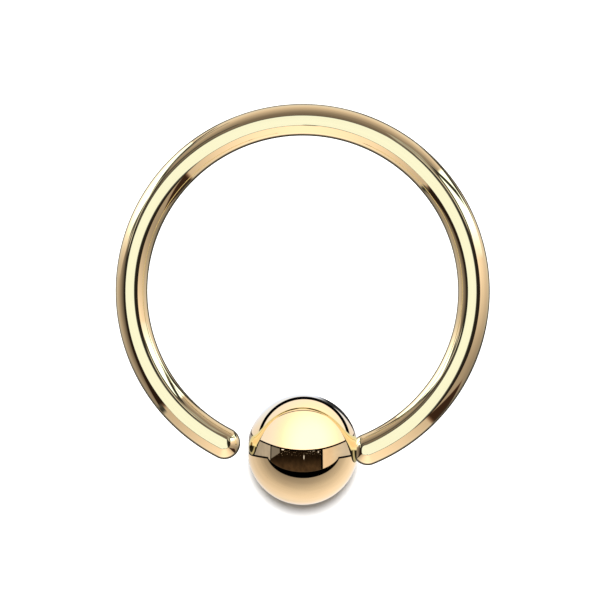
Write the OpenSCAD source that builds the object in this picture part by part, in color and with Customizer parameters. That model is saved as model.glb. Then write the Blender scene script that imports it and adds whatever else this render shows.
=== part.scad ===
// Body ring of round wire with one bead held on its fixed end. The open end
// stands a little back from its seat in the bead. The ring lies on its side
// on the plane z = 0, resting on the bead and on the far side of the wire.
// The origin is under the middle of the part, on that plane.

/* [Ring] */
// Diameter of the round wire
wire_d = 1.2; // [0.8:0.05:1.6]
// Clear diameter inside the ring
inner_d = 11.65; // [8:0.05:16]
// Step round each end, where its ball-shaped tip is narrower than the wire
tip_step = 0.01; // [0.005:0.005:0.03]
// Distance along the wire from the closed place back to the open end
open_gap = 0.55; // [0.2:0.05:4]

/* [Bead] */
// Diameter of the bead
bead_d = 4.15; // [3:0.05:6]
// How deep the nose of a seated tip lies below the bead's round
seat_depth = 0.23; // [0.1:0.01:0.35]
// Clearance between a tip and its dimple
seat_gap = 0.02; // [0.01:0.005:0.05]
// Radius that rounds the rim of a dimple
rim_r = 0.04; // [0.02:0.01:0.08]

/* [Pin] */
// Diameter of the pin on the fixed end
pin_d = 0.5; // [0.3:0.05:0.6]
// Length of the pin past the nose of the tip
pin_len = 0.9; // [0.5:0.05:1.3]
// Chamfer round the end of the pin
pin_chamfer = 0.06; // [0.02:0.01:0.1]
// Clearance round the pin in its hole
pin_gap = 0.02; // [0.01:0.005:0.05]
// Clearance past the end of the pin in its hole
pin_end_gap = 0.1; // [0.05:0.05:0.3]

/* [Hidden] */
$fn = 128;
gold = [0.93, 0.79, 0.47];

wire_r = wire_d / 2;
ring_r = inner_d / 2 + wire_r;
tip_r = wire_r - tip_step;
bead_r = bead_d / 2;
pin_r = pin_d / 2;

// A dimple is part of a sphere round the centre of the tip seated in it.
seat_r = tip_r + seat_gap;
seat_x = bead_r + tip_r - seat_depth;
bead_y = -sqrt(pow(ring_r, 2) - pow(seat_x, 2));
pin_reach = tip_r + pin_len;

// Angles of the two tips, each from the line through the bead.
fixed_angle = asin(seat_x / ring_r);
open_angle = fixed_angle + open_gap / ring_r * 180 / PI;
wire_sweep = 360 - fixed_angle - open_angle;

// The ring leans from the bead down to the far side of its wire.
lean = asin((bead_r - wire_r) / (ring_r - bead_y));
rest_y = ((-bead_y - ring_r) * cos(lean) + bead_r - wire_r) / 2;
rest_z = wire_r + ring_r * sin(lean);

// Circle that rounds a dimple's rim, in the bead's half outline: its centre,
// and where it touches the bead's round and the dimple. Each point is given
// out from the dimples' axis, then along it from the bead's centre.
seat_centre = [0, seat_x];
rim_bead_r = bead_r - rim_r;
rim_seat_r = seat_r + rim_r;
rim_z = (pow(seat_x, 2) + pow(rim_bead_r, 2) - pow(rim_seat_r, 2)) / (2 * seat_x);
rim_centre = [sqrt(pow(rim_bead_r, 2) - pow(rim_z, 2)), rim_z];
bead_touch = rim_centre * bead_r / rim_bead_r;
seat_touch = seat_centre + (rim_centre - seat_centre) * seat_r / rim_seat_r;

// Lays down what is drawn flat round the ring's centre.
module at_rest() {
    translate([0, rest_y, rest_z])
        rotate([-lean, 0, 0])
            children();
}

// Moves something to a place on the ring's round, turned from the bead.
module on_ring(angle) {
    rotate(angle - 90)
        translate([ring_r, 0, 0])
            children();
}

// Points the Z axis from the fixed tip's centre through the bead's.
module along_pin() {
    translate([seat_x, bead_y, 0])
        rotate([0, -90, 0])
            children();
}

// Wire bent round from the fixed end to the open end.
module bent_wire() {
    rotate(fixed_angle - 90)
        rotate_extrude(angle = wire_sweep)
            translate([ring_r, 0])
                circle(wire_r);
}

// Thin end of the wire that holds the bead.
module pin() {
    cylinder(r = pin_r, h = pin_reach - pin_chamfer);
    translate([0, 0, pin_reach - pin_chamfer])
        cylinder(r1 = pin_r, r2 = pin_r - pin_chamfer, h = pin_chamfer);
}

module pin_hole() {
    cylinder(r = pin_r + pin_gap, h = pin_reach + pin_end_gap);
}

// What a dimple takes from the bead's half outline, its rim rounded.
module dimple_outline() {
    translate(seat_centre)
        circle(seat_r);
    difference() {
        polygon([
            rim_centre,
            bead_touch,
            bead_touch + seat_touch - rim_centre,
            seat_touch
        ]);
        translate(rim_centre)
            circle(rim_r);
    }
}

// Bead with its two dimples, before the hole for the pin.
module dimpled_bead() {
    rotate_extrude()
        difference() {
            intersection() {
                circle(bead_r);
                translate([0, -bead_r])
                    square([bead_r, bead_d]);
            }
            dimple_outline();
            mirror([0, 1])
                dimple_outline();
        }
}

module hoop() {
    color(gold)
        at_rest()
            union() {
                bent_wire();
                on_ring(fixed_angle)
                    sphere(tip_r);
                on_ring(-open_angle)
                    sphere(tip_r);
                along_pin()
                    pin();
            }
}

module bead() {
    color(gold)
        at_rest()
            difference() {
                translate([0, bead_y, 0])
                    rotate([0, 90, 0])
                        dimpled_bead();
                along_pin()
                    pin_hole();
            }
}

hoop();
bead();
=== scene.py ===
import math
from collections import namedtuple

import bpy
import numpy as np
from mathutils import Matrix, Vector


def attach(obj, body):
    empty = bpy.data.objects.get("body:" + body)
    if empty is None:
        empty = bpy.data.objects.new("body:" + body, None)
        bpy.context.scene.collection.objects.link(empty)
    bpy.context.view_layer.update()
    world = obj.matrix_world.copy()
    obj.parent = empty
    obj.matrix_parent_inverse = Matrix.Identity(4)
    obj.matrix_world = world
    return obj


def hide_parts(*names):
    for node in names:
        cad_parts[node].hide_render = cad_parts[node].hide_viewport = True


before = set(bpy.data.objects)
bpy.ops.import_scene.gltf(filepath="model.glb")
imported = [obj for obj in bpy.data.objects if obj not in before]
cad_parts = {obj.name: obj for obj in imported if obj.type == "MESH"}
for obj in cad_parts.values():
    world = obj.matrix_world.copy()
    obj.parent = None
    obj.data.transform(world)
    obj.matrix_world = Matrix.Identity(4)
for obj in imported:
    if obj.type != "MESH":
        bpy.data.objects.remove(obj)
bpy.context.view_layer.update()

scene = bpy.context.scene
MM = 0.001

# Driving sizes of the ring, in metres
WIRE_D = 1.2 * MM
INNER_D = 11.65 * MM
TIP_STEP = 0.01 * MM
OPEN_GAP = 0.55 * MM
BEAD_D = 4.15 * MM
SEAT_DEPTH = 0.23 * MM
SEAT_GAP = 0.02 * MM
RIM_R = 0.04 * MM
PIN_D = 0.5 * MM
PIN_LEN = 0.9 * MM
PIN_CHAMFER = 0.06 * MM
PIN_GAP = 0.02 * MM
PIN_END_GAP = 0.1 * MM

# Worked out from them, as in the frame
WIRE_R = WIRE_D / 2
RING_R = INNER_D / 2 + WIRE_R
TIP_R = WIRE_R - TIP_STEP
BEAD_R = BEAD_D / 2
PIN_R = PIN_D / 2
SEAT_R = TIP_R + SEAT_GAP
SEAT_X = BEAD_R + TIP_R - SEAT_DEPTH
BEAD_Y = -math.sqrt(RING_R**2 - SEAT_X**2)
PIN_REACH = TIP_R + PIN_LEN
HOLE_R = PIN_R + PIN_GAP
HOLE_REACH = PIN_REACH + PIN_END_GAP
FIXED_ANGLE = math.asin(SEAT_X / RING_R)
OPEN_ANGLE = FIXED_ANGLE + OPEN_GAP / RING_R

# The ring's own frame: flat in XY round its centre, the bead towards -Y
LEAN = math.asin((BEAD_R - WIRE_R) / (RING_R - BEAD_Y))
REST_Y = ((-BEAD_Y - RING_R) * math.cos(LEAN) + BEAD_R - WIRE_R) / 2
REST_Z = WIRE_R + RING_R * math.sin(LEAN)
REST = Matrix.Translation((0, REST_Y, REST_Z)) @ Matrix.Rotation(-LEAN, 4, "X")


# Camera

# The photo is 600 pixels square and looks straight along the ring's axis
PHOTO_SIZE = 600
PHOTO_CENTRE = (302.7, 291.0)
PHOTO_RING_R = 187.2
LENS_MM = 500
SENSOR_MM = 36
# The camera sees from its distance divided by this to its distance times this
CLIP_FACTOR = 20


def add_camera():
    """Long lens over the ring's face, framed as the photo is."""
    pixel = (RING_R + WIRE_R) / PHOTO_RING_R
    distance = PHOTO_SIZE * pixel * LENS_MM / SENSOR_MM
    middle = PHOTO_SIZE / 2
    aim = Vector(((middle - PHOTO_CENTRE[0]) * pixel, (PHOTO_CENTRE[1] - middle) * pixel, distance))
    data = bpy.data.cameras.new("camera")
    data.lens = LENS_MM
    data.sensor_width = SENSOR_MM
    data.clip_start = distance / CLIP_FACTOR
    data.clip_end = distance * CLIP_FACTOR
    camera = bpy.data.objects.new("camera", data)
    scene.collection.objects.link(camera)
    camera.matrix_world = REST @ Matrix.Translation(aim)
    scene.camera = camera


# Meshes

AROUND_WIRE = 112
ALONG_WIRE = 440
TIP_RINGS = 40
AROUND_BEAD = 224
AROUND_DIMPLE = 24
AROUND_RIM = 12
DOWN_BEAD = 90
CAP_POLAR = math.radians(1.5)
PIN_ROOT_POLAR = math.radians(3)
# Radius of the small cap in the middle of the left dimple, as a share of the dimple's
DIMPLE_CAP = 1 / 40
# Rings down the pin's hole, as shares of its depth
HOLE_SHARES = (0.05, 0.5, 0.95, 1)


def skin(name, rings):
    """Closed smooth mesh over rings of points, whose first and last rings are one point each."""
    first, *middle, last = rings
    count = len(middle[0])
    points = np.vstack([first, *middle, last])
    faces = []
    for row in range(len(middle) - 1):
        low = 1 + row * count
        for i in range(count):
            j = (i + 1) % count
            faces.append((low + i, low + j, low + count + j, low + count + i))
    end = len(points) - 1
    for i in range(count):
        j = (i + 1) % count
        faces.append((0, 1 + j, 1 + i))
        faces.append((end, end - count + i, end - count + j))
    mesh = bpy.data.meshes.new(name)
    mesh.from_pydata(points.tolist(), [], faces)
    mesh.transform(REST)
    mesh.validate()
    mesh.shade_smooth()
    piece = bpy.data.objects.new(name, mesh)
    scene.collection.objects.link(piece)
    return piece


def circle(centre, across, up, radius, count):
    """Points round a circle that starts at the across direction and turns towards up."""
    turn = np.linspace(0, 2 * math.pi, count, endpoint=False)[:, None]
    return centre + radius * (np.cos(turn) * across + np.sin(turn) * up)


Z_AXIS = np.array([0.0, 0.0, 1.0])


def on_wire(angle):
    """Centre and outward direction at an angle from the bead, positive towards the fixed end."""
    out = np.array([math.sin(angle), -math.cos(angle), 0.0])
    return RING_R * out, out


def tip_rings(angle, side, axis, first_polar):
    """Rings over a domed tip, from a cap round its axis out to the wire's full section."""
    centre, out = on_wire(angle)
    nose = side * np.cross(out, Z_AXIS)
    across = side * np.cross(Z_AXIS, axis)
    cap = circle(math.cos(first_polar) * axis, across, Z_AXIS, math.sin(first_polar), AROUND_WIRE)
    base = circle(0, out, Z_AXIS, 1, AROUND_WIRE)
    between = np.arccos(np.clip(np.sum(cap * base, axis=1), -1, 1))[:, None]
    rings = []
    for share in np.linspace(0, 1, TIP_RINGS):
        turned = (np.sin((1 - share) * between) * cap + np.sin(share * between) * base) / np.sin(between)
        along = turned @ nose
        flat = turned - np.outer(along, nose)
        rings.append(centre + WIRE_R * flat + TIP_R * np.outer(along, nose))
    return rings


def pin_rings(centre, axis):
    """Rings along the pin from its chamfered end back to the tip."""
    across = np.cross(Z_AXIS, axis)
    stations = [
        (PIN_REACH, (PIN_R - PIN_CHAMFER) / 2),
        (PIN_REACH, PIN_R - PIN_CHAMFER),
        (PIN_REACH - PIN_CHAMFER, PIN_R),
        (math.sqrt(TIP_R**2 - PIN_R**2) + PIN_CHAMFER, PIN_R),
    ]
    return [
        circle(centre + reach * axis, across, Z_AXIS, radius, AROUND_WIRE)
        for reach, radius in stations
    ]


def add_hoop():
    """Bent round wire with a domed tip at each end and the bead's pin on the fixed one."""
    open_centre, open_out = on_wire(-OPEN_ANGLE)
    open_nose = -np.cross(open_out, Z_AXIS)
    rings = [open_centre + TIP_R * open_nose]
    rings += tip_rings(-OPEN_ANGLE, -1, open_nose, CAP_POLAR)
    sweep = 2 * math.pi - FIXED_ANGLE - OPEN_ANGLE
    for angle in np.linspace(0, sweep, ALONG_WIRE)[1:-1]:
        centre, out = on_wire(2 * math.pi - OPEN_ANGLE - angle)
        rings.append(circle(centre, out, Z_AXIS, WIRE_R, AROUND_WIRE))
    fixed_centre, _ = on_wire(FIXED_ANGLE)
    pin_axis = np.array([-1.0, 0.0, 0.0])
    root = math.asin(PIN_R / TIP_R) + PIN_ROOT_POLAR
    rings += tip_rings(FIXED_ANGLE, 1, pin_axis, root)[::-1]
    rings += pin_rings(fixed_centre, pin_axis)[::-1]
    rings.append(fixed_centre + PIN_REACH * pin_axis)
    return skin("polished_hoop", rings)


def arc(centre, radius, start, end, count):
    """Points on a circle in the bead's half outline, each along its axis, then out from it."""
    return [
        (centre[0] + radius * math.cos(turn), centre[1] + radius * math.sin(turn))
        for turn in np.linspace(start, end, count)
    ]


def side_outline(from_radius):
    """Half outline of the bead's right side, from a radius in its dimple to its widest circle."""
    rim_bead_r = BEAD_R - RIM_R
    rim_seat_r = SEAT_R + RIM_R
    rim_x = (SEAT_X**2 + rim_bead_r**2 - rim_seat_r**2) / (2 * SEAT_X)
    rim_y = math.sqrt(rim_bead_r**2 - rim_x**2)
    seat_turn = math.atan2(rim_y, rim_x - SEAT_X)
    bead_turn = math.atan2(rim_y, rim_x)
    deep_turn = math.pi - math.asin(from_radius / SEAT_R)
    dimple = arc((SEAT_X, 0), SEAT_R, deep_turn, seat_turn, AROUND_DIMPLE)
    rim = arc((rim_x, rim_y), RIM_R, seat_turn - math.pi, bead_turn, AROUND_RIM)
    round_side = arc((0, 0), BEAD_R, bead_turn, math.pi / 2, DOWN_BEAD)
    return dimple + rim[1:-1] + round_side


def add_bead():
    """Round bead with a rimmed dimple on each side and the pin's blind hole in the right one."""
    left = [(-along, out) for along, out in side_outline(SEAT_R * DIMPLE_CAP)]
    right = side_outline(HOLE_R)[::-1]
    bottom = SEAT_X - HOLE_REACH
    mouth = right[-1][0]
    hole = [(mouth + (bottom - mouth) * share, HOLE_R) for share in HOLE_SHARES]
    outline = left + right[1:] + hole + [(bottom, HOLE_R / 2)]
    centre = np.array([0.0, BEAD_Y, 0.0])
    axis = np.array([1.0, 0.0, 0.0])
    up = np.array([0.0, 1.0, 0.0])
    rings = [centre - (SEAT_X - SEAT_R) * axis]
    for along, out in outline:
        rings.append(circle(centre + along * axis, Z_AXIS, up, out, AROUND_BEAD))
    rings.append(centre + bottom * axis)
    return skin("polished_bead", rings)


# Arithmetic in node trees

class Field:
    """A value worked out by nodes at each point, combined like a plain number."""

    def __init__(self, tree, socket):
        self.tree = tree
        self.socket = socket

    def math(self, operation, *others):
        node = self.tree.nodes.new("ShaderNodeMath")
        node.operation = operation
        for entry, value in zip(node.inputs, (self, *others)):
            if isinstance(value, Field):
                self.tree.links.new(value.socket, entry)
            else:
                entry.default_value = value
        return Field(self.tree, node.outputs[0])

    def __add__(self, other):
        return self.math("ADD", other)

    def __sub__(self, other):
        return self.math("SUBTRACT", other)

    def __mul__(self, other):
        return self.math("MULTIPLY", other)

    def __truediv__(self, other):
        return self.math("DIVIDE", other)

    def __neg__(self):
        return self * -1

    def __rsub__(self, other):
        return -self + other

    def __abs__(self):
        return self.math("ABSOLUTE")

    def square(self):
        return self * self

    def root(self):
        return self.math("SQRT")

    def least(self, other):
        return self.math("MINIMUM", other)

    def most(self, other):
        return self.math("MAXIMUM", other)

    def ramp(self, low, high, at_low=0.0, at_high=1.0):
        """Smooth change from at_low to at_high as the value goes from low to high."""
        node = self.tree.nodes.new("ShaderNodeMapRange")
        node.interpolation_type = "SMOOTHSTEP"
        self.tree.links.new(self.socket, node.inputs["Value"])
        node.inputs["From Min"].default_value = low
        node.inputs["From Max"].default_value = high
        node.inputs["To Min"].default_value = at_low
        node.inputs["To Max"].default_value = at_high
        return Field(self.tree, node.outputs["Result"])

    def above(self, edge, soft):
        """1 where the value is over the edge, and 0 under it."""
        return (self - edge).ramp(-soft / 2, soft / 2)

    def below(self, edge, soft):
        """1 where the value is under the edge, and 0 over it."""
        return (edge - self).ramp(-soft / 2, soft / 2)

    def between(self, low, high, soft):
        """1 where the value lies between low and high."""
        return self.above(low, soft) * self.below(high, soft)

    def near(self, middle, width, soft):
        """1 within half a width of the middle."""
        return abs(self - middle).below(width / 2, soft)

    def fade(self, other, share):
        """This value where share is 0, and the other where it is 1."""
        return self + (other - self) * share


# Light

# Half the width of the square room of lights round the ring
TENT_HALF = 0.3
TENT_SIDES = {
    "right": (1, 0, 0),
    "left": (-1, 0, 0),
    "far": (0, 1, 0),
    "near": (0, -1, 0),
    "top": (0, 0, 1),
    "bottom": (0, 0, -1),
}
# Smallest share of a direction that a division by it allows for
LEAST_SHARE = 0.001
# Detail of a noise, unless another is given
NOISE_DETAIL = 3.0


def ring_frame_fields(tree, vector):
    """Parts of a vector along the ring's own axes: right, up the photo, towards the camera."""
    fields = []
    for axis in REST.to_3x3().transposed():
        dot = tree.nodes.new("ShaderNodeVectorMath")
        dot.operation = "DOT_PRODUCT"
        dot.inputs[1].default_value = axis
        tree.links.new(vector, dot.inputs[0])
        fields.append(Field(tree, dot.outputs["Value"]))
    return fields


def from_ring_centre(tree, place):
    """Vector from the ring's centre to a place."""
    aim = tree.nodes.new("ShaderNodeVectorMath")
    aim.operation = "SUBTRACT"
    aim.inputs[1].default_value = REST.translation
    tree.links.new(place, aim.inputs[0])
    return aim.outputs["Vector"]


def direction_fields(tree):
    """Direction from the ring to a point of its room of lights."""
    place = tree.nodes.new("ShaderNodeNewGeometry").outputs["Position"]
    direction = tree.nodes.new("ShaderNodeVectorMath")
    direction.operation = "NORMALIZE"
    tree.links.new(from_ring_centre(tree, place), direction.inputs[0])
    return ring_frame_fields(tree, direction.outputs["Vector"])


def bounce_field(tree):
    """How often light on its way to the camera is mirrored, and one more."""
    return Field(tree, tree.nodes.new("ShaderNodeLightPath").outputs["Ray Depth"])


def noise_field(tree, fields, scales, detail=NOISE_DETAIL):
    """Cloudy values from 0 to 1 over up to three fields, each with its own scale."""
    join = tree.nodes.new("ShaderNodeCombineXYZ")
    for entry, field, scale in zip(join.inputs, fields, scales):
        tree.links.new((field * scale).socket, entry)
    noise = tree.nodes.new("ShaderNodeTexNoise")
    noise.inputs["Scale"].default_value = 1.0
    noise.inputs["Detail"].default_value = detail
    tree.links.new(join.outputs["Vector"], noise.inputs["Vector"])
    return Field(tree, noise.outputs["Fac"])


def tinted(tree, tint, warm, cool):
    """White that turns warm as the tint goes to 1, and cool as it goes to -1."""
    join = tree.nodes.new("ShaderNodeCombineColor")
    for entry, warm_share, cool_share in zip(join.inputs, warm, cool):
        level = tint.most(0) * (warm_share - 1) + (-tint).most(0) * (cool_share - 1) + 1
        tree.links.new(level.socket, entry)
    return join.outputs["Color"]


def light_tent(name, piece, paint, warm, cool):
    """Six square lights round the ring that show in one piece only, painted by direction."""
    painting = bpy.data.node_groups.new(name, "ShaderNodeTree")
    painting.interface.new_socket("Brightness", in_out="OUTPUT", socket_type="NodeSocketFloat")
    painting.interface.new_socket("Colour", in_out="OUTPUT", socket_type="NodeSocketColor")
    result = painting.nodes.new("NodeGroupOutput")
    glow, tint = paint(painting, *direction_fields(painting))
    painting.links.new(glow.most(0).socket, result.inputs["Brightness"])
    painting.links.new(tinted(painting, tint, warm, cool), result.inputs["Colour"])
    receivers = bpy.data.collections.new(name)
    receivers.objects.link(piece)
    for side, outward in TENT_SIDES.items():
        data = bpy.data.lights.new(f"{name}_{side}", "AREA")
        data.shape = "SQUARE"
        data.size = 2 * TENT_HALF
        data.energy = math.pi * data.size**2
        data.use_nodes = True
        tree = data.node_tree
        painted = tree.nodes.new("ShaderNodeGroup")
        painted.node_tree = painting
        emission = tree.nodes["Emission"]
        tree.links.new(painted.outputs["Brightness"], emission.inputs["Strength"])
        tree.links.new(painted.outputs["Colour"], emission.inputs["Color"])
        lamp = bpy.data.objects.new(data.name, data)
        scene.collection.objects.link(lamp)
        facing = (-Vector(outward)).to_track_quat("-Z", "Y").to_matrix().to_4x4()
        lamp.matrix_world = REST @ Matrix.Translation(Vector(outward) * TENT_HALF) @ facing
        lamp.visible_camera = False
        lamp.light_linking.receiver_collection = receivers


# Shapes on a wall of the room

Ramp = namedtuple("Ramp", "low high at_low at_high")
Bar = namedtuple("Bar", "start end width level")
Spot = namedtuple("Spot", "x y half_width half_height level")


class Paint:
    """Brightness and tint on the walls of a room of lights, put on in coats."""

    def __init__(self, glow, tint):
        self.glow = glow
        self.tint = tint

    def coat(self, share, glow, tint=None):
        """Covers a share of what is there, and leaves the tint where none is given."""
        self.glow = self.glow.fade(glow, share)
        if tint is not None:
            self.tint = self.tint.fade(tint, share)


def edge_distance(x, y, start, end):
    """How far a point lies to the right of the line from start to end."""
    length = math.dist(start, end)
    across = ((end[1] - start[1]) / length, (start[0] - end[0]) / length)
    return (x - start[0]) * across[0] + (y - start[1]) * across[1]


def panel(x, y, corners, soft, margin=0):
    """1 inside an outline with straight sides, whose corners run clockwise, and in a margin round it."""
    inside = x * 0 + 1
    for start, end in zip(corners, corners[1:] + corners[:1]):
        inside = inside * edge_distance(x, y, start, end).above(-margin, soft)
    return inside


def stripe(x, y, start, end, width, soft):
    """1 along the straight line from start to end."""
    length = math.dist(start, end)
    along = ((end[0] - start[0]) / length, (end[1] - start[1]) / length)
    reach = (x - start[0]) * along[0] + (y - start[1]) * along[1]
    return edge_distance(x, y, start, end).near(0, width, soft) * reach.between(0, length, 2 * soft)


def ellipse(x, y, half_width, half_height):
    """Distance from the middle of an ellipse, which is 1 on the ellipse."""
    return ((x / half_width).square() + (y / half_height).square()).root()


def distance(x, y, centre):
    """Distance from a centre."""
    return ellipse(x - centre[0], y - centre[1], 1, 1)


def varied(noise, spread):
    """A factor round 1 that follows the noise."""
    return (noise - 0.5) * spread + 1


# Studio that the bead mirrors, drawn where it shows on the bead's face: x right, y up, the bead's radius 1

BEAD_WARM = (1.0, 0.53, 0.17)
BEAD_COOL = (1.0, 1.20, 1.60)
FACE_SHIFT = (0.010, -0.013)
# Widths over which an edge changes over
SHARP = 0.008
SOFT = 0.02
BLACK = 0.0

# Ceiling light in a dark round frame, which hides the pale room behind it
CEILING_CENTRE = (0.12, 0.15)
CEILING_HALF = (1.0, 1.2)
CEILING_GLOW = Ramp(0.15, 0.80, 1.90, 0.98)
CEILING_TINT = Ramp(0.50, 0.75, 0.0, -0.6)
FRAME_CENTRE = (0.012, 0.127)
FRAME_R = 0.821
FRAME_WIDTH = 0.050
FRAME_FOOT = 0.20
BEYOND_FRAME = 0.90
BEYOND_TINT = Ramp(0.25, 0.70, -0.3, -1.3)
# Thin bowed cable across the ceiling light
CABLE_TOP = 0.723
CABLE_BOW = 0.58
CABLE_WIDTH = 0.016
CABLE_REACH = (0.50, 0.12)
CABLE_GLOW = 0.20
# Dark edge of the room at the upper right, wider towards the top
SIDE_EDGE = 0.982
SIDE_LEAN = 0.04
SIDE_GLOW = 0.03
SIDE_FROM_X = (0.35, 0.30)
SIDE_FROM_Y = (0.22, 0.10)


def paint_ceiling(paint, x, y):
    """Ceiling light, its frame and cable, and what shows beyond them."""
    reach = ellipse(x - CEILING_CENTRE[0], y - CEILING_CENTRE[1], *CEILING_HALF)
    paint.coat(1, reach.ramp(*CEILING_GLOW), reach.ramp(*CEILING_TINT))
    bow = y + x.square() * CABLE_BOW
    cable = bow.near(CABLE_TOP, CABLE_WIDTH, SHARP) * abs(x).below(*CABLE_REACH)
    paint.coat(cable, CABLE_GLOW)
    radius = distance(x, y, FRAME_CENTRE)
    paint.coat(radius.above(FRAME_R, SHARP), BEYOND_FRAME, y.ramp(*BEYOND_TINT))
    frame_line = radius.near(FRAME_R, FRAME_WIDTH, SHARP)
    paint.coat(frame_line * y.above(FRAME_FOOT, SHARP), BLACK)
    edge = (distance(x, y, (0, 0)) + y * SIDE_LEAN).above(SIDE_EDGE, SHARP)
    paint.coat(edge * x.above(*SIDE_FROM_X) * y.above(*SIDE_FROM_Y), SIDE_GLOW)


# Table top, darker next to its far edge and lighter to the right, with faint bands
TABLE_HALF = (0.68, 0.50)
TABLE_LIT_HALF = (0.58, 0.50)
TABLE_GLOW = Ramp(1.0, 1.80, 0.34, 0.97)
TABLE_SLOPE = 0.13
BAND_SCALES = (9.0, 1.5)
BAND_SPREAD = 0.24
# Lower edge of the ceiling light, a shallow bowl
BRINK_BOW = 0.27
BRINK_Y = -0.008


def paint_table(tree, paint, x, y):
    """Table top under the ceiling light's lower edge."""
    away = ellipse(x, y, *TABLE_LIT_HALF)
    bands = varied(noise_field(tree, (away, x), BAND_SCALES), BAND_SPREAD)
    paint.coat(under_brink(x, y), away.ramp(*TABLE_GLOW) * bands + x * TABLE_SLOPE, 0)


def under_brink(x, y):
    """1 under the ceiling light's lower edge."""
    return (x.square() * BRINK_BOW + BRINK_Y - y).above(0, SHARP)


# Wall between the ceiling light and the table, from left to right: blind, shutter, window, door
BLIND_GLOW = Ramp(-0.95, -0.60, 0.38, 0.47)
BLIND_TINT = -0.4
SHUTTER_LEFT = -0.582
SHUTTER_RIGHT = -0.425
SHUTTER_LEAN = 0.72
SHUTTER_FOOT = -0.256
SHUTTER_FRAME = 0.018
SHUTTER_GLOW = 0.21
SHUTTER_TINT = -0.5
DOOR_LEFT = 0.335
DOOR_FRAME = 0.034
DOOR_GLOW = Ramp(0.36, 0.80, 0.88, 0.64)
DOOR_TINT = Ramp(0.45, 0.75, 0.15, -0.35)
WINDOW_GLOW = Ramp(0.10, 0.36, 0.012, 0.065)
WINDOW_TINT = 0.66
WALL_FOOT = 0.138
WALL_HALF = (0.68, 0.389)
CLOUD_SCALES = (5.0, 7.0)
CLOUD_SPREAD = 0.3
SLAT_SCALES = (26.0, 7.0)
SLAT_SPREAD = 0.4
GLASS_SCALES = (13.0, 9.0)
GLASS_SPREAD = 1.6
# Faint sparks in the window, where a fine noise is high
SPARK_SCALES = (70.0, 60.0)
SPARK_DETAIL = 1.0
SPARK_LEAST = (0.70, 0.06)
SPARK_SPAN = (-0.10, 0.0, 0.04)
SPARK_GLOW = 0.5
# Small lamps that show in the window
SPOT_BLUR = 0.6
SPOT_TINT = -1
SPOTS = (
    Spot(-0.366, 0.012, 0.024, 0.013, 1.6),
    Spot(0.090, -0.009, 0.012, 0.014, 1.0),
    Spot(0.125, -0.013, 0.016, 0.009, 1.2),
    Spot(0.180, -0.007, 0.030, 0.013, 0.9),
    Spot(0.270, -0.032, 0.011, 0.018, 0.6),
    Spot(0.012, -0.127, 0.009, 0.040, 0.7),
)


def paint_wall(tree, paint, x, y):
    """Wall with a dark window, inside the room's middle band."""
    cloud = varied(noise_field(tree, (x, y), CLOUD_SCALES), CLOUD_SPREAD)
    slats = varied(noise_field(tree, (x, y), SLAT_SCALES), SLAT_SPREAD)
    glass = varied(noise_field(tree, (x, y), GLASS_SCALES), GLASS_SPREAD)
    foot = (-y).above(WALL_FOOT, SHARP)
    rounded = ellipse(x, y, *WALL_HALF).below(1, SOFT)
    in_band = under_brink(x, y) * (1 - foot + foot * rounded)
    wall = Paint(x.ramp(*BLIND_GLOW) * slats, x * 0 + BLIND_TINT)
    wall.coat(x.above(SHUTTER_LEFT, SHARP), SHUTTER_GLOW, SHUTTER_TINT)
    below_shutter = (x * SHUTTER_LEAN - y).above(SHUTTER_FOOT, SOFT) * x.above(SHUTTER_LEFT, SHARP)
    window = x.above(SHUTTER_RIGHT, SHARP).most(below_shutter) * x.below(DOOR_LEFT, SHARP)
    wall.coat(window, (-y).ramp(*WINDOW_GLOW) * glass, WINDOW_TINT)
    sparks = noise_field(tree, (x, y), SPARK_SCALES, SPARK_DETAIL).above(*SPARK_LEAST)
    wall.coat(sparks * window * y.between(*SPARK_SPAN), SPARK_GLOW, 0)
    for spot in SPOTS:
        lit = ellipse(x - spot.x, y - spot.y, spot.half_width, spot.half_height).below(1, SPOT_BLUR)
        wall.coat(lit, spot.level, SPOT_TINT)
    wall.coat(x.above(DOOR_LEFT, SHARP), x.ramp(*DOOR_GLOW) * cloud, x.ramp(*DOOR_TINT))
    wall.coat(x.near(DOOR_LEFT, DOOR_FRAME, SHARP), BLACK)
    wall.coat(x.near(SHUTTER_LEFT, SHUTTER_FRAME, SHARP), BLACK)
    paint.coat(in_band, wall.glow, wall.tint)


# Dark lines on the bead: brink of the ceiling light, side rails, and the thick bow of the table's far edge
BRINK_WIDTH = 0.031
RAIL_Y = -0.212
RAIL_LEAN = 0.10
RAIL_WIDTH = 0.034
RAIL_START = 0.625


def paint_dark_edges(paint, x, y):
    """Lines where the ceiling light, the wall and the table meet."""
    paint.coat((y - x.square() * BRINK_BOW - BRINK_Y).near(0, BRINK_WIDTH, SHARP), BLACK)
    table_rim = ellipse(x, y, *TABLE_HALF).below(1, SOFT)
    wall_rim = ellipse(x, y, *WALL_HALF).above(1, SOFT)
    paint.coat(table_rim * wall_rim * (-y).above(WALL_FOOT, SHARP), BLACK)
    rail = (y - abs(x) * RAIL_LEAN).near(RAIL_Y, RAIL_WIDTH, SHARP)
    paint.coat(rail * abs(x).above(RAIL_START, SHARP), BLACK)


def paint_for_bead(tree, right, up, front):
    """Bright ceiling over a table top, with a dark window in the wall between them."""
    shrink = ((front + 1) * 2).most(LEAST_SHARE).root()
    x = right / shrink - FACE_SHIFT[0]
    y = up / shrink - FACE_SHIFT[1]
    paint = Paint(x * 0, x * 0)
    paint_ceiling(paint, x, y)
    paint_table(tree, paint, x, y)
    paint_wall(tree, paint, x, y)
    paint_dark_edges(paint, x, y)
    return paint.glow, paint.tint


# Studio that the wire mirrors: a box room whose walls are one unit away

HOOP_WARM = (1.0, 0.60, 0.45)
HOOP_COOL = (1.0, 1.34, 1.58)
# Streaks over the walls: how they turn from side to side and up, and their scales
GRAIN_LEAN = (0.6, 0.4)
GRAIN_SCALES = (16.0, 3.0)
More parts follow.
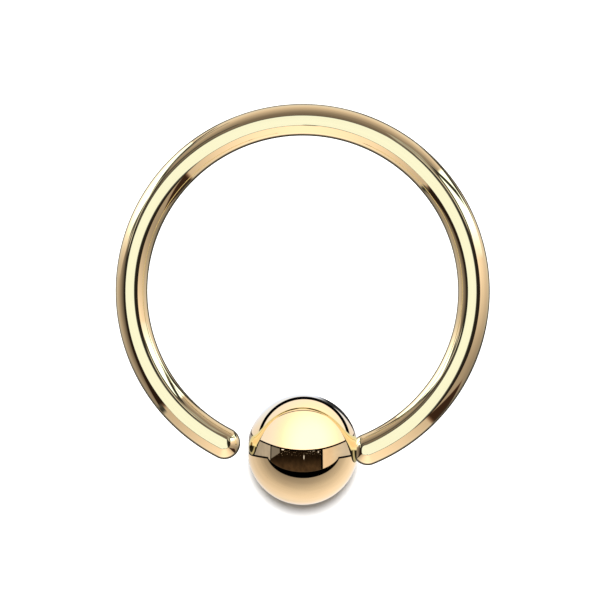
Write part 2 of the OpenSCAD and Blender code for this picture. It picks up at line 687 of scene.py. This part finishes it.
# Widths over which walls and shapes change over
SEAM = 0.02
PANE_SOFT = 0.05
BAR_SOFT = 0.06
TINT_OF_BARS = -0.6

# Ceiling and floor
ABOVE_GLOW = Ramp(-0.86, 0.55, 0.17, 0.80)
ABOVE_SPREAD = 0.7
BELOW_GLOW = Ramp(0, 1.15, 1.28, 0.60)
BELOW_SPREAD = 0.2
BELOW_SIDES = (-1.2, 1.04, 0.05)


def paint_above_and_below(paint, right, up, front, grain):
    """Ceiling, dimmer towards the front, and floor, brightest in its middle."""
    paint.coat(1, (-front).ramp(*ABOVE_GLOW) * varied(grain, ABOVE_SPREAD))
    across = right / (-up).most(LEAST_SHARE)
    share = (-up).above(0, SEAM) * across.between(*BELOW_SIDES)
    paint.coat(share, abs(across).ramp(*BELOW_GLOW) * varied(grain, BELOW_SPREAD), 0)


# Left wall, with a dark curtain along its front
LEFT_GLOW = Ramp(-0.80, 0.5, 0.02, 0.56)
LEFT_SPREAD = 0.4
LEFT_SPAN = (-0.83, 0.42, 0.10)
# The wall is dimmer towards its foot
LEFT_SLOPE = 0.6
LEFT_LEAST = 0.35
CURTAIN_Z = (0.62, 0.16)
CURTAIN_LEAN = 0.5
CURTAIN_FLARE = 4.1
CURTAIN_WAIST = -0.45
CURTAIN_GLOW = 0.02
CURTAIN_TINT = 0.8
CURTAIN_TINTED = (0.2, 0.3)


def paint_left_wall(paint, front, to_left, y, z, grain):
    """Wall that darkens to a curtain, whose foot flares."""
    foot = (y - CURTAIN_WAIST).least(0)
    curtain = (z - y * CURTAIN_LEAN + foot.square() * CURTAIN_FLARE).above(*CURTAIN_Z)
    glow = (-front).ramp(*LEFT_GLOW) * (y * LEFT_SLOPE + 1).most(LEFT_LEAST) * varied(grain, LEFT_SPREAD)
    wall = Paint(glow, y * 0)
    wall.coat(curtain, CURTAIN_GLOW, (-y).above(*CURTAIN_TINTED) * CURTAIN_TINT)
    paint.coat(to_left * y.between(*LEFT_SPAN), wall.glow, wall.tint)


# Right wall, with a dark heap on its foot
RIGHT_GLOW = Ramp(-0.50, 0.38, 0.36, 1.05)
RIGHT_FRONT = Ramp(-0.5, 0.7, 0.8, 1.12)
RIGHT_SPREAD = 0.3
RIGHT_SPAN = (-1.01, 0.30, 0.08)
HEAP_TOP = (0.56, 0.06)
HEAP_SLOPE = 0.28
HEAP_GLOW = 0.04
HEAP_TINT = 1


def paint_right_wall(paint, front, to_right, y, z, grain):
    """Wall that is brighter towards its top, and a heap like a low roof."""
    share = to_right * y.between(*RIGHT_SPAN)
    paint.coat(share, y.ramp(*RIGHT_GLOW) * front.ramp(*RIGHT_FRONT) * varied(grain, RIGHT_SPREAD), 0)
    heap = (-y - abs(z) * HEAP_SLOPE).above(*HEAP_TOP)
    paint.coat(heap * share, HEAP_GLOW, HEAP_TINT)


# Left window: y up and z towards the camera
LEFT_PANE = [(0.08, -0.10), (0.30, 0.40), (0.60, 0.64), (1.35, -0.42), (1.35, -3.2), (0.08, -3.2)]
LEFT_PANE_GLOW = Ramp(0.12, 0.50, 0.62, 1.5)
LEFT_PANE_TINT = Ramp(0.22, 0.52, -0.1, -1.5)
LEFT_BARS = (
    Bar((0.58, 0.74), (1.90, -1.12), 0.24, 0.04),
    Bar((0.30, 0.46), (0.60, 0.70), 0.26, 0.05),
    Bar((0.90, 0.30), (2.30, -0.55), 0.20, 0.22),
    Bar((0.30, 0.20), (0.58, 0.54), 0.14, 0.12),
    Bar((0.58, 0.67), (2.60, 2.00), 0.30, 0.08),
    Bar((0.10, 0.64), (0.80, 0.92), 0.22, 0.03),
    Bar((0.25, 0.67), (0.80, 0.50), 0.10, 0.80),
    Bar((-0.84, -1.60), (-0.84, 0.30), 0.08, 0.05),
)


def paint_left_window(paint, to_left, y, z):
    """Bright pane with its frame, a sill with a glint on it, and the wall's skirting."""
    pane = panel(y, z, LEFT_PANE, PANE_SOFT) * to_left
    paint.coat(pane, y.ramp(*LEFT_PANE_GLOW), y.ramp(*LEFT_PANE_TINT))
    paint_bars(paint, to_left, y, z, LEFT_BARS)


def paint_bars(paint, share, x, y, bars):
    """Straight bars on a wall."""
    for bar in bars:
        line = stripe(x, y, bar.start, bar.end, bar.width, BAR_SOFT)
        paint.coat(line * share, bar.level, TINT_OF_BARS)


# Right window: y up and z towards the camera
RIGHT_PANE = [(0.20, 1.00), (0.80, 1.06), (0.88, 0.85), (0.88, -0.80), (0.20, -0.20)]
RIGHT_PANE_GLOW = Ramp(0.20, 0.42, 1.0, 1.5)
RIGHT_PANE_TINT = Ramp(0.20, 0.45, -0.7, -1.5)
RIGHT_BARS = (
    Bar((0.96, 1.25), (1.75, 1.65), 0.80, 0.42),
    Bar((0.30, 1.03), (0.92, 1.14), 0.26, 0.04),
    Bar((0.45, 1.60), (1.50, 1.25), 0.14, 0.25),
    Bar((0.93, 0.95), (0.58, -0.20), 0.16, 0.03),
    Bar((0.90, 0.46), (1.40, 0.50), 0.12, 0.25),
    Bar((0.54, -0.40), (1.10, -1.40), 0.38, 0.04),
    Bar((0.40, 1.30), (1.20, 1.84), 0.17, 0.80),
)


def paint_right_window(paint, to_right, y, z):
    """Bright pane with its frame."""
    pane = panel(y, z, RIGHT_PANE, PANE_SOFT) * to_right
    paint.coat(pane, y.ramp(*RIGHT_PANE_GLOW), y.ramp(*RIGHT_PANE_TINT))
    paint_bars(paint, to_right, y, z, RIGHT_BARS)


# Behind the ring: dark but for a glow on the left, one above and a faint one on the right
BACK_START = (0.62, 0.78)
BACK_LEFT_GLOW = Ramp(-0.75, 0.2, 0.15, 0.62)
BACK_LEFT_TOP = (1.25, 0.3)
BACK_TOP_SPAN = (-0.48, 0.30, 0.25)
BACK_TOP_GLOW = 0.65
BACK_RIGHT_SPAN = (-0.2, 0.5, 0.3)
BACK_RIGHT_GLOW = 0.26
BACK_LEAST = Ramp(-0.5, 0.5, 0.20, 0.12)
BACK_TINT = Ramp(0.1, 0.7, 0.0, -0.3)
BACK_DIMMED = Ramp(0.66, 0.84, 1.0, 0.35)
# Low down the wall behind starts sooner
BACK_LOW = Ramp(0.05, 0.35, 0.0, 0.16)


def paint_behind(paint, right, up, front, left_y, right_y):
    """Wall behind the ring, seen near the wire's edges."""
    left = left_y.ramp(*BACK_LEFT_GLOW) * left_y.below(*BACK_LEFT_TOP) * (-right).above(0, SEAM)
    top = (right / up.most(LEAST_SHARE)).between(*BACK_TOP_SPAN) * up.above(0, SEAM) * BACK_TOP_GLOW
    side = right_y.between(*BACK_RIGHT_SPAN) * right.above(0, SEAM) * BACK_RIGHT_GLOW
    back = (left + top + side).most((right - up).ramp(*BACK_LEAST))
    sooner = (-up).ramp(*BACK_LOW)
    paint.coat((sooner - front).ramp(*BACK_START), back * (-front).ramp(*BACK_DIMMED))
    paint.tint = paint.tint.fade(BACK_TINT.at_high, (-front).ramp(BACK_TINT.low, BACK_TINT.high))


# Bright panel in front of the ring, with its dark edge, and a dark panel to its right
DARK_PANEL = [
    (0.28, 0.25), (0.95, 0.27), (1.04, 0.0), (0.98, -0.40),
    (0.78, -0.66), (0.56, -0.72), (0.30, -0.10),
]
BRIGHT_PANEL = [
    (-0.88, 0.22), (-0.70, 0.50), (-0.40, 0.595), (0.31, 0.56), (0.32, -0.80),
    (-0.28, -0.865), (-0.62, -1.04), (-0.89, -0.95), (-1.02, -0.60), (-0.93, 0.0),
]
BRIGHT_TOE = [(0.31, -0.05), (0.50, -0.62), (0.41, -0.75), (0.0, -0.84), (0.0, -0.05)]
DARK_PANEL_GLOW = 0.02
FRONT_BARS = (
    Bar((-0.99, 0.41), (-0.72, 0.60), 0.22, 0.02),
    Bar((-0.72, 0.60), (-0.40, 0.665), 0.20, 0.02),
    Bar((0.30, 0.50), (0.51, 0.36), 0.20, 0.03),
    Bar((0.51, 0.36), (0.61, 0.16), 0.20, 0.03),
)
EDGE_WIDTH = 0.08
EDGE_SOFT = 0.03
EDGE_GLOW = 0.12
EDGE_TINT = -1
BRIGHT_GLOW = 0.98
BRIGHT_SPREAD = 0.16


def paint_front(paint, right, up, front, grain):
    """Panels between the camera and the ring."""
    ahead = front.most(LEAST_SHARE)
    x = right / ahead
    y = up / ahead
    facing = front.above(0, SEAM)
    paint.coat(panel(x, y, DARK_PANEL, PANE_SOFT) * facing, DARK_PANEL_GLOW)
    paint_bars(paint, facing, x, y, FRONT_BARS)
    edge = panel(x, y, BRIGHT_PANEL, EDGE_SOFT, EDGE_WIDTH)
    edge = edge.most(panel(x, y, BRIGHT_TOE, EDGE_SOFT, EDGE_WIDTH))
    bright = panel(x, y, BRIGHT_PANEL, EDGE_SOFT).most(panel(x, y, BRIGHT_TOE, EDGE_SOFT))
    paint.coat(edge * facing, EDGE_GLOW, EDGE_TINT)
    paint.coat(bright * facing, varied(grain, BRIGHT_SPREAD) * BRIGHT_GLOW)


# Plainer room for the ring's mirror image in the bead, bright but for its low back
TWICE_MIRRORED = (2.5, 0.5)
TWICE_FRONT = Ramp(-0.8, 0.2, 0.78, 1.00)
TWICE_UP = Ramp(-0.22, 0.02, 0.02, 1.0)
TWICE_TINT = Ramp(0.1, 0.5, -1.4, -0.7)
TWICE_SIDES = (0.90, 0.1)
TWICE_SPARED = Ramp(0.20, 0.40, 0.50, 0.0)


def paint_twice_mirrored(tree, paint, right, up, front):
    """What the ring mirrors where it is itself seen in the bead."""
    low = up.ramp(*TWICE_UP).most(abs(right).ramp(*TWICE_SPARED))
    glow = front.ramp(*TWICE_FRONT) * low * abs(right).below(*TWICE_SIDES)
    tint = (front.least(up)).ramp(*TWICE_TINT)
    paint.coat(bounce_field(tree).above(*TWICE_MIRRORED), glow, tint)


def paint_for_hoop(tree, right, up, front):
    """Box room round the ring, with windows in its side walls and a bright panel in front of it."""
    grain = noise_field(tree, (front, right * GRAIN_LEAN[0] + up * GRAIN_LEAN[1]), GRAIN_SCALES)
    to_left = (-right).above(0, SEAM)
    to_right = right.above(0, SEAM)
    left_y = up / (-right).most(LEAST_SHARE)
    left_z = front / (-right).most(LEAST_SHARE)
    right_y = up / right.most(LEAST_SHARE)
    right_z = front / right.most(LEAST_SHARE)
    paint = Paint(front * 0, front * 0)
    paint_above_and_below(paint, right, up, front, grain)
    paint_left_wall(paint, front, to_left, left_y, left_z, grain)
    paint_right_wall(paint, front, to_right, right_y, right_z, grain)
    paint_left_window(paint, to_left, left_y, left_z)
    paint_right_window(paint, to_right, right_y, right_z)
    paint_behind(paint, right, up, front, left_y, right_y)
    paint_front(paint, right, up, front, grain)
    paint_twice_mirrored(tree, paint, right, up, front)
    return paint.glow, paint.tint


# Floor

FLOOR_SIZE = 0.6
FLOOR_COLOUR = (0.86, 0.86, 0.86, 1)
FLOOR_ROUGHNESS = 0.9

# Floor's light: a white surround, and a soft light high over the side away from the bead
WHITE = (1, 1, 1, 1)
SURROUND = 0.22
KEY_SIZE = 0.06
KEY_ENERGY = 1.05
KEY_DISTANCE = 0.25
KEY_HEIGHT_DEG = 75


def add_floor():
    """Plain pale floor, left out of the metal's mirror image because the tents show there."""
    half = FLOOR_SIZE / 2
    mesh = bpy.data.meshes.new("floor")
    corners = [(-half, -half, 0), (half, -half, 0), (half, half, 0), (-half, half, 0)]
    mesh.from_pydata(corners, [], [(0, 1, 2, 3)])
    floor = bpy.data.objects.new("floor", mesh)
    scene.collection.objects.link(floor)
    material = bpy.data.materials.new("pale_floor")
    material.use_nodes = True
    shader = material.node_tree.nodes["Principled BSDF"]
    shader.inputs["Base Color"].default_value = FLOOR_COLOUR
    shader.inputs["Roughness"].default_value = FLOOR_ROUGHNESS
    mesh.materials.append(material)
    floor.visible_glossy = False
    floor.visible_shadow = False
    return floor


def light_floor(floor, bead):
    """Surround for the floor, and a soft high light on it whose shadow only the bead casts."""
    world = bpy.data.worlds.new("surround")
    world.use_nodes = True
    surround = world.node_tree.nodes["Background"]
    surround.inputs["Color"].default_value = WHITE
    surround.inputs["Strength"].default_value = SURROUND
    world.cycles_visibility.glossy = False
    scene.world = world
    receivers = bpy.data.collections.new("floor_key_receivers")
    receivers.objects.link(floor)
    blockers = bpy.data.collections.new("floor_key_blockers")
    blockers.objects.link(bead)
    data = bpy.data.lights.new("floor_key", "AREA")
    data.shape = "DISK"
    data.size = KEY_SIZE
    data.energy = KEY_ENERGY
    lamp = bpy.data.objects.new("floor_key", data)
    scene.collection.objects.link(lamp)
    height = math.radians(KEY_HEIGHT_DEG)
    towards = Vector((0, math.cos(height), math.sin(height)))
    facing = (-towards).to_track_quat("-Z", "Y").to_matrix().to_4x4()
    lamp.matrix_world = Matrix.Translation(towards * KEY_DISTANCE) @ facing
    lamp.visible_camera = False
    lamp.light_linking.receiver_collection = receivers
    lamp.light_linking.blocker_collection = blockers


# Metal

GOLD = (1.0, 0.72, 0.41, 1)
DEEP_GOLD = (1.0, 0.70, 0.385, 1)
POLISH = 0.02
DULLER = 0.05
# Depth of the polishing marks, in metres
MARK_DEPTH = 0.0001 * MM


def gold(name, marks_of):
    """Mirror-polished gold with faint polishing marks, whose colour and gloss vary a little."""
    material = bpy.data.materials.new(name)
    material.use_nodes = True
    tree = material.node_tree
    shader = tree.nodes["Principled BSDF"]
    shader.inputs["Metallic"].default_value = 1.0
    place = tree.nodes.new("ShaderNodeTexCoord").outputs["Object"]
    marks, patches = marks_of(tree, *ring_frame_fields(tree, from_ring_centre(tree, place)))
    colour = tree.nodes.new("ShaderNodeMix")
    colour.data_type = "RGBA"
    colour.inputs["A"].default_value = GOLD
    colour.inputs["B"].default_value = DEEP_GOLD
    tree.links.new(patches.socket, colour.inputs["Factor"])
    tree.links.new(colour.outputs["Result"], shader.inputs["Base Color"])
    roughness = (marks * patches).ramp(0, 1, POLISH, DULLER)
    tree.links.new(roughness.socket, shader.inputs["Roughness"])
    bump = tree.nodes.new("ShaderNodeBump")
    bump.inputs["Distance"].default_value = MARK_DEPTH
    tree.links.new(marks.socket, bump.inputs["Height"])
    tree.links.new(bump.outputs["Normal"], shader.inputs["Normal"])
    return material


# Marks and patches in each millimetre
LINES_ACROSS = 30 / MM
LINES_ALONG = 0.6 / MM
SWIRLS = 12 / MM
PATCHES = 1.2 / MM


def drawn_marks(tree, right, up, front):
    """Fine lines along the wire, left by drawing and buffing it."""
    turn = right.math("ARCTAN2", up)
    out = (right.square() + up.square()).root()
    marks = noise_field(tree, (turn * RING_R, out, front), (LINES_ALONG, LINES_ACROSS, LINES_ACROSS))
    patches = noise_field(tree, (right, up, front), (PATCHES, PATCHES, PATCHES))
    return marks, patches


def tumbled_marks(tree, right, up, front):
    """Marks without a direction, left by tumbling the bead."""
    marks = noise_field(tree, (right, up, front), (SWIRLS, SWIRLS, SWIRLS))
    patches = noise_field(tree, (right, up, front), (PATCHES, PATCHES, PATCHES))
    return marks, patches


add_camera()
hoop = add_hoop()
bead = add_bead()
for piece, node, marks_of in ((hoop, "hoop", drawn_marks), (bead, "bead", tumbled_marks)):
    piece.data.materials.append(gold(piece.name + "_gold", marks_of))
    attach(piece, "root")
    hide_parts(node)
light_tent("bead_tent", bead, paint_for_bead, BEAD_WARM, BEAD_COOL)
light_tent("hoop_tent", hoop, paint_for_hoop, HOOP_WARM, HOOP_COOL)
# The photo's wire doesn't mirror the bead beside it
bead.visible_glossy = False
light_floor(add_floor(), bead)
scene.view_settings.view_transform = "Standard"
